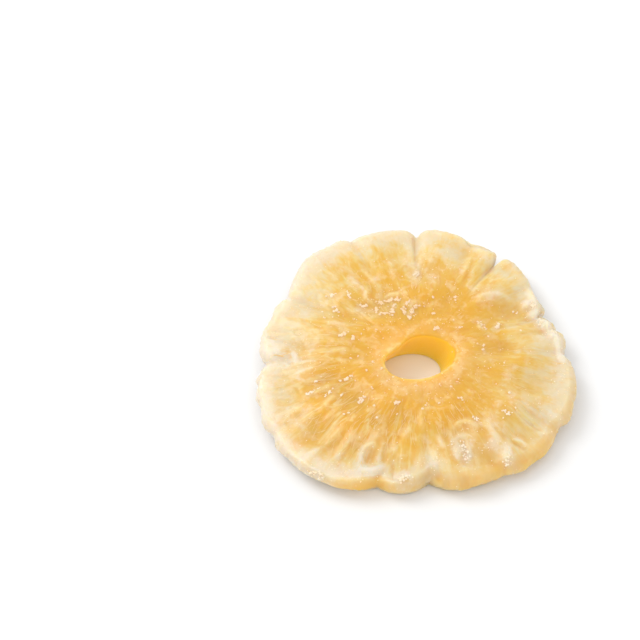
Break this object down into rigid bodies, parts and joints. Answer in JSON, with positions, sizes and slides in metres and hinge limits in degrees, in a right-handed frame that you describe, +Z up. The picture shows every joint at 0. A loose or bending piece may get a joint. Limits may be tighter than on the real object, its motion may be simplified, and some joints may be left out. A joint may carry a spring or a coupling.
{
  "type": "dried pineapple ring",
  "caption": "Candied pineapple slice: a flat ring of dried fruit with a scalloped rim, raised fibre and an oval core hole, lying cut face up.",
  "frame": {"origin": "on the table under the middle of the slice's box", "axes": "+Z up out of the cut face that shows, +X to the right and -Y towards the viewer of the picture"},
  "size_m": [0.0806, 0.0816, 0.0093],
  "materials": {
    "flesh": "translucent waxy candied flesh, orange-yellow round the hole and cream at the rim, with whitish fibre and sugar frost"
  },
  "bodies": {
    "root": {"pineapple_ring": "flesh"}
  },
  "joints": []
}
